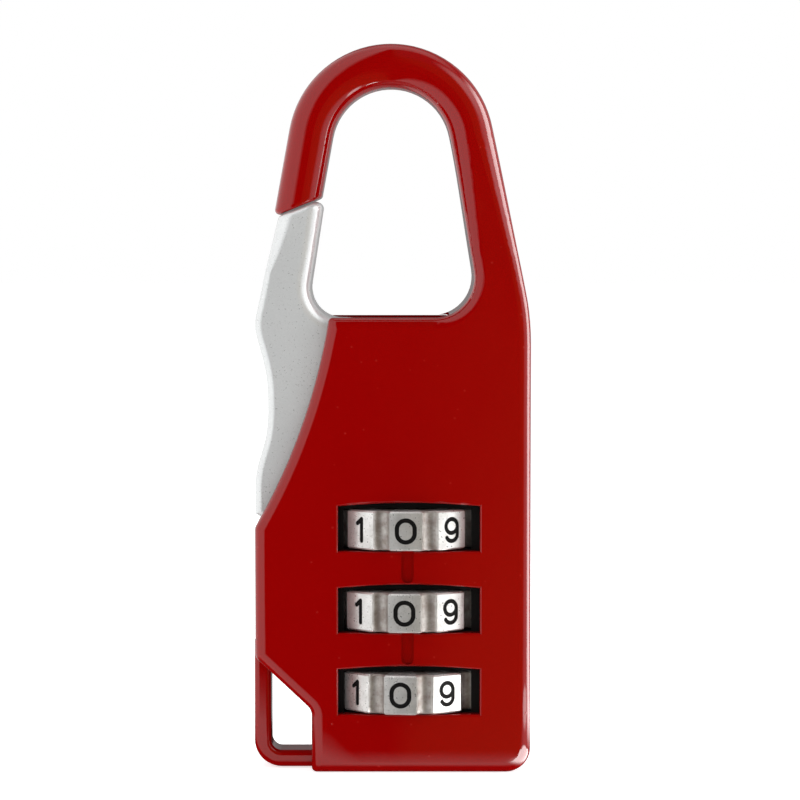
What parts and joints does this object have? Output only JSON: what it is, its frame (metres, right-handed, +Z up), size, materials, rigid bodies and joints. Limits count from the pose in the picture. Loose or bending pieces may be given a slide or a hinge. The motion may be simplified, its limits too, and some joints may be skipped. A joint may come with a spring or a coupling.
{
  "type": "luggage combination padlock",
  "caption": "Flat luggage padlock with a fixed hook, an inward-swinging gate lever that closes it, number dials showing through windows, and a lanyard loop at one lower corner.",
  "frame": {"origin": "under the middle of the lock, on the plane it stands on", "axes": "+Z up towards the hook, -Y out of the number side, +X towards the solid right leg of the hook"},
  "size_m": [0.0249, 0.0142, 0.0655],
  "materials": {
    "red_paint": "high gloss red enamel on die-cast zinc",
    "lever_silver": "satin silver paint on die-cast zinc",
    "dial_metal": "nickel plated, lightly worn, black-filled numerals",
    "spindle_steel": "turned steel",
    "spring_steel": "spring steel",
    "sleeve_brass": "turned brass",
    "cage_black": "moulded black plastic",
    "rivet_red": "rivets painted over with the casing"
  },
  "bodies": {
    "casing": {"main_casing": "red_paint", "back_cover": "red_paint", "casing_rivets": "rivet_red", "gate_pivot_pin": "spindle_steel", "spindle_bearing_plate": "sleeve_brass", "spring_washer": "spindle_steel", "dial_cage": "cage_black", "detent_spring": "spring_steel", "detent_rivets": "sleeve_brass", "spindle_spring": "spring_steel", "reset_spring": "spring_steel"},
    "gate": {"gate_lever": "lever_silver"},
    "spindle": {"spindle": "spindle_steel", "spindle_head": "spindle_steel"},
    "reset_button": {"reset_button": "sleeve_brass"},
    "dial_top": {"number_dial_top": "dial_metal"},
    "sleeve_top": {"code_sleeve_top": "sleeve_brass"},
    "dial_middle": {"number_dial_middle": "dial_metal"},
    "sleeve_middle": {"code_sleeve_middle": "sleeve_brass"},
    "dial_bottom": {"number_dial_bottom": "dial_metal"},
    "sleeve_bottom": {"code_sleeve_bottom": "sleeve_brass"}
  },
  "joints": [
    {"name": "gate_hinge", "type": "hinge", "parent": "casing", "child": "gate", "pos_m": [-0.0085, 0, 0.0264], "axis": [0, 1, 0], "range_deg": [0, 15], "stiffness_Nm_per_rad": 0.03, "springref_deg": -8.59},
    {"name": "spindle_slide", "type": "slide", "parent": "casing", "child": "spindle", "axis": [0, 0, -1], "range_m": [0, 0.00263], "deforming": ["spindle_spring"]},
    {"name": "reset_slide", "type": "slide", "parent": "casing", "child": "reset_button", "axis": [0, 0, 1], "range_m": [0, 0.0012], "stiffness_N_per_m": 400, "springref_m": -0.0008, "deforming": ["reset_spring"]},
    {"name": "dial_spin_top", "type": "hinge", "parent": "casing", "child": "dial_top", "pos_m": [0.00132, 0, 0.02195], "axis": [0, 0, 1], "continuous": true},
    {"name": "sleeve_slide_top", "type": "slide", "parent": "dial_top", "child": "sleeve_top", "axis": [0, 0, 1], "range_m": [0, 0.0012]},
    {"name": "dial_spin_middle", "type": "hinge", "parent": "casing", "child": "dial_middle", "pos_m": [0.00132, 0, 0.0146], "axis": [0, 0, 1], "continuous": true},
    {"name": "sleeve_slide_middle", "type": "slide", "parent": "dial_middle", "child": "sleeve_middle", "axis": [0, 0, 1], "range_m": [0, 0.0012]},
    {"name": "dial_spin_bottom", "type": "hinge", "parent": "casing", "child": "dial_bottom", "pos_m": [0.00132, 0, 0.00725], "axis": [0, 0, 1], "continuous": true},
    {"name": "sleeve_slide_bottom", "type": "slide", "parent": "dial_bottom", "child": "sleeve_bottom", "axis": [0, 0, 1], "range_m": [0, 0.0012]}
  ],
  "couplings": [
    {"joint": "spindle_slide", "follows": "gate_hinge", "m_per_rad": 0.010017},
    {"joint": "sleeve_slide_top", "follows": "reset_slide", "ratio": 1},
    {"joint": "sleeve_slide_middle", "follows": "reset_slide", "ratio": 1},
    {"joint": "sleeve_slide_bottom", "follows": "reset_slide", "ratio": 1}
  ]
}
